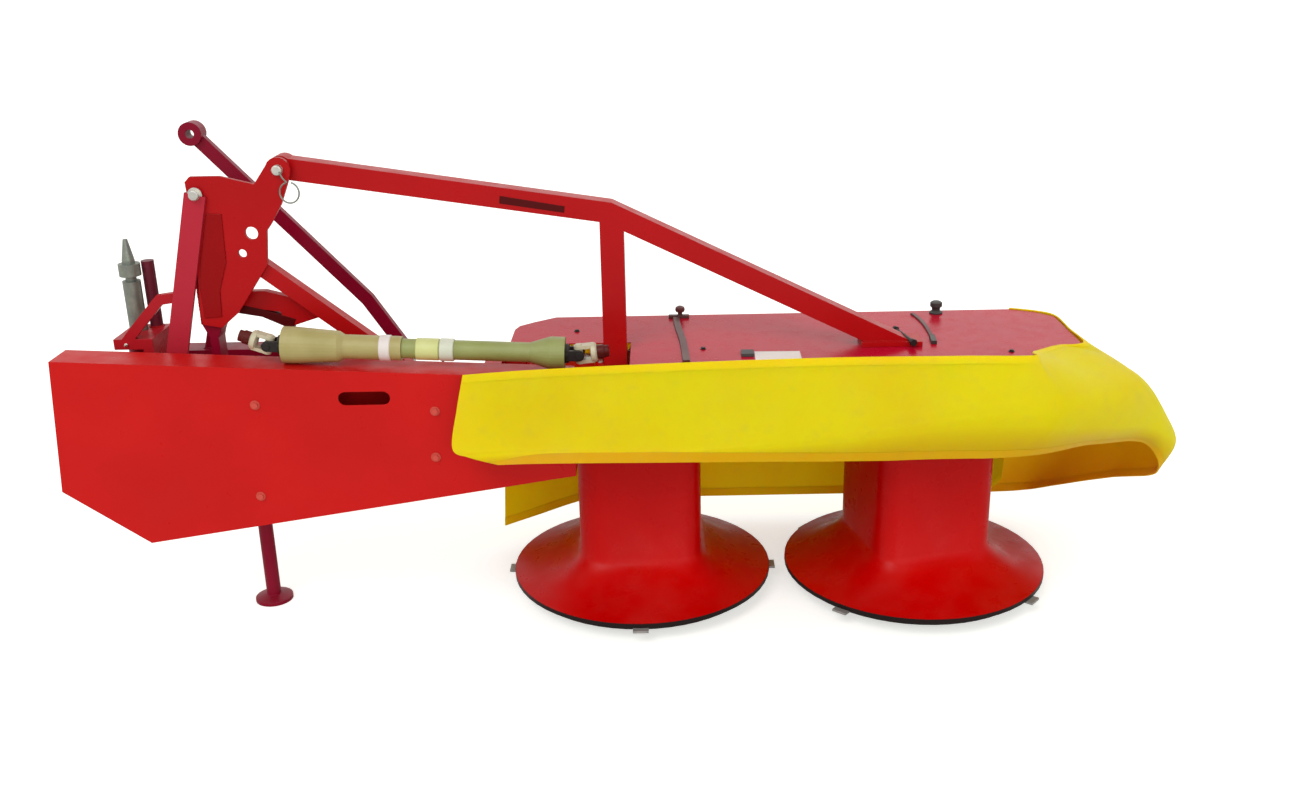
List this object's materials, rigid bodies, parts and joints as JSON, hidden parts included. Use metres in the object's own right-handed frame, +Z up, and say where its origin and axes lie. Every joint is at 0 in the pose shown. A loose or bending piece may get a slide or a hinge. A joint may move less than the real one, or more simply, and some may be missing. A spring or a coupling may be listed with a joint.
{
  "type": "two-drum rotary mower for a tractor linkage",
  "caption": "Mounted drum mower with a belt-driven cutting unit under a fabric-skirted guard, a lift arm and mast, a swinging hitch frame and a parking stand.",
  "frame": {"origin": "centre of the left sliding dish's flat underside, on the ground under the left drum's axis", "axes": "+X runs along the drums away from the tractor side, +Y is the direction of travel, +Z is up"},
  "size_m": [3.167, 0.8599, 1.391],
  "materials": {
    "red_paint": "gloss red paint",
    "drum_paint": "gloss deep red paint",
    "zinc_steel": "zinc plated",
    "dark_steel": "satin dark paint",
    "yellow_fabric": "coated yellow tarpaulin",
    "olive_plastic": "satin olive plastic",
    "green_plastic": "satin green plastic"
  },
  "bodies": {
    "carrier": {"main_beam": "red_paint", "knuckle_fork": "red_paint", "belt_cover": "red_paint", "belt_back_plate": "red_paint", "cover_bracket": "red_paint", "mast_plate": "red_paint", "mast_column": "red_paint", "mast_stay": "red_paint", "mast_brace": "red_paint", "mast_gusset": "red_paint", "stay_pin": "zinc_steel", "lock_pin": "zinc_steel", "pivot_yoke": "red_paint", "pivot_pin": "zinc_steel", "drive_input": "zinc_steel", "stand_sleeve": "red_paint", "shaft_yoke_left": "zinc_steel", "shaft_guard_outer": "olive_plastic", "shaft_guard_inner": "green_plastic", "shaft_yoke_right": "zinc_steel"},
    "hitch": {"hitch_beam": "red_paint", "hitch_pin_left": "zinc_steel", "hitch_pin_right": "zinc_steel", "hitch_post": "red_paint", "top_strut": "red_paint"},
    "cutting_unit": {"gear_beam": "drum_paint", "gearbox": "drum_paint", "dish_left": "dark_steel", "dish_right": "dark_steel", "lift_arm": "red_paint", "deck": "red_paint", "bearer_left": "red_paint", "bearer_right": "red_paint", "end_arm": "red_paint", "rail_front": "red_paint", "rail_rear": "red_paint", "strap_left": "red_paint", "strap_right": "red_paint", "skirt_rear": "yellow_fabric", "skirt_end": "yellow_fabric", "skirt_front": "yellow_fabric"},
    "drum_rotor_left": {"drum_left": "drum_paint", "knives_left": "zinc_steel"},
    "drum_rotor_right": {"drum_right": "drum_paint", "knives_right": "zinc_steel"},
    "parking_stand": {"stand": "red_paint"}
  },
  "joints": [
    {"name": "hitch_swing", "type": "hinge", "parent": "carrier", "child": "hitch", "pos_m": [-1.435, 0, 0.7], "axis": [0, 0, 1], "range_deg": [0, 90]},
    {"name": "unit_tilt", "type": "hinge", "parent": "carrier", "child": "cutting_unit", "pos_m": [-0.26, 0, 0.635], "axis": [0, -1, 0], "range_deg": [-6, 8]},
    {"name": "drum_spin_left", "type": "hinge", "parent": "cutting_unit", "child": "drum_rotor_left", "pos_m": [0, 0, 0.3], "axis": [0, 0, 1], "continuous": true},
    {"name": "drum_spin_right", "type": "hinge", "parent": "cutting_unit", "child": "drum_rotor_right", "pos_m": [0.825, 0, 0.3], "axis": [0, 0, 1], "continuous": true},
    {"name": "stand_slide", "type": "slide", "parent": "carrier", "child": "parking_stand", "axis": [0, 0, 1], "range_m": [0, 0.25]}
  ],
  "couplings": [
    {"joint": "drum_spin_right", "follows": "drum_spin_left", "ratio": -1}
  ]
}
